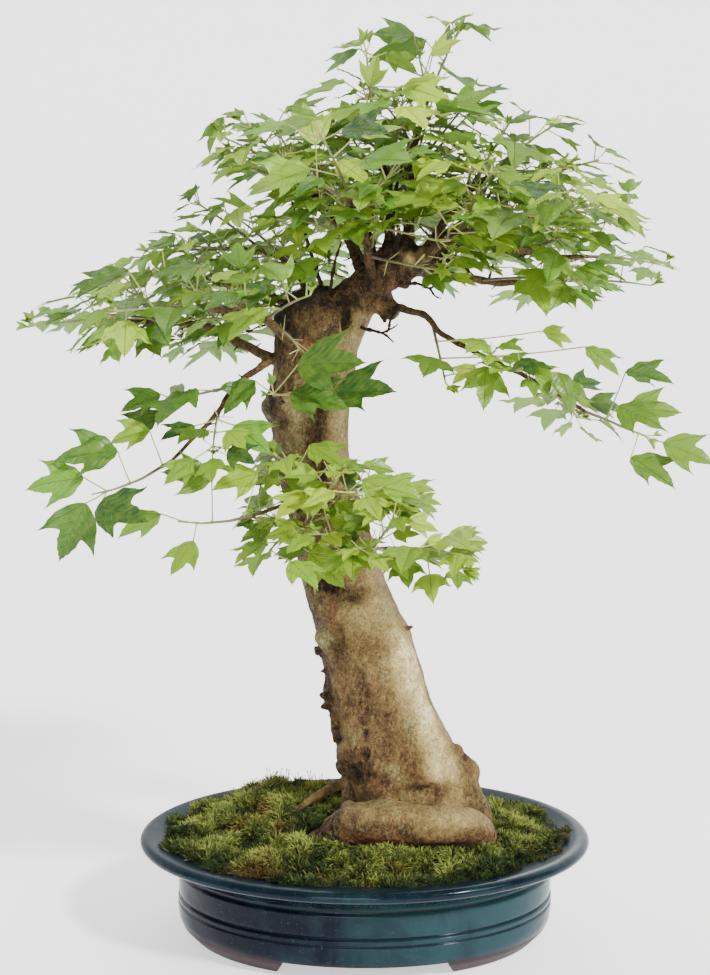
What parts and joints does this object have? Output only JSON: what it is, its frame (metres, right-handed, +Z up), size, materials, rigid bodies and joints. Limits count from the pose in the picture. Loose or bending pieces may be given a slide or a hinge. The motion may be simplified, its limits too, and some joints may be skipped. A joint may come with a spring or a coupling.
{
  "type": "bonsai",
  "caption": "Slanting trident maple bonsai with three-lobed leaves on a thick trunk, growing from moss in a shallow oval glazed pot with a wide lip.",
  "frame": {"origin": "under the middle of the tree's outline, on the plane that the pot's feet stand on; the oval pot's centre is 6 mm to the right of it and 2 mm in front", "axes": "+Z up, +X to the right along the pot's length, -Y towards the viewer of the picture"},
  "size_m": [0.591, 0.3813, 0.7985],
  "materials": {
    "pot": "dark teal-blue gloss glaze, brown where it thins at the foot",
    "soil": "dark baked-clay granules",
    "moss": "living cushion moss, yellow-green tips over dark green",
    "trunk": "matt beige to brown bark",
    "leaf": "fresh green leaves with a soft sheen",
    "young_leaf": "young yellow-green leaves"
  },
  "bodies": {
    "root": {"moss": "moss", "pot": "pot", "soil": "soil", "spray_apex_1": "leaf", "spray_apex_2": "leaf", "spray_apex_3": "leaf", "spray_apex_left_1": "leaf", "spray_apex_left_2": "leaf", "spray_back_crown_1": "leaf", "spray_back_crown_2": "leaf", "spray_back_left_1": "leaf", "spray_back_left_2": "leaf", "spray_back_right_1": "leaf", "spray_back_right_2": "leaf", "spray_front_crown_1": "leaf", "spray_front_crown_2": "leaf", "spray_front_left_1": "leaf", "spray_front_left_2": "leaf", "spray_front_left_3": "leaf", "spray_front_right_1": "leaf", "spray_front_right_2": "leaf", "spray_left_1": "leaf", "spray_left_2": "leaf", "spray_left_3": "leaf", "spray_left_4": "leaf", "spray_left_5": "leaf", "spray_left_crown_1": "leaf", "spray_left_crown_2": "leaf", "spray_left_crown_3": "leaf", "spray_left_crown_4": "leaf", "spray_left_drop_1": "leaf", "spray_left_drop_2": "leaf", "spray_left_twig_1": "leaf", "spray_left_up_1": "leaf", "spray_left_up_2": "leaf", "spray_left_up_3": "leaf", "spray_middle_left_1": "young_leaf", "spray_middle_right_1": "young_leaf", "spray_middle_right_2": "young_leaf", "spray_middle_up_1": "young_leaf", "spray_middle_up_2": "young_leaf", "spray_right_1": "leaf", "spray_right_2": "leaf", "spray_right_3": "leaf", "spray_right_4": "leaf", "spray_right_back_1": "leaf", "spray_right_back_2": "leaf", "spray_right_drop_1": "leaf", "spray_right_drop_2": "leaf", "spray_right_high_1": "leaf", "spray_right_high_2": "leaf", "spray_right_high_3": "leaf", "spray_right_low_1": "leaf", "spray_right_low_2": "leaf", "spray_right_up_1": "leaf", "spray_right_up_2": "leaf", "spray_right_up_3": "leaf", "spray_spur_1": "leaf", "trunk": "trunk"}
  },
  "joints": []
}
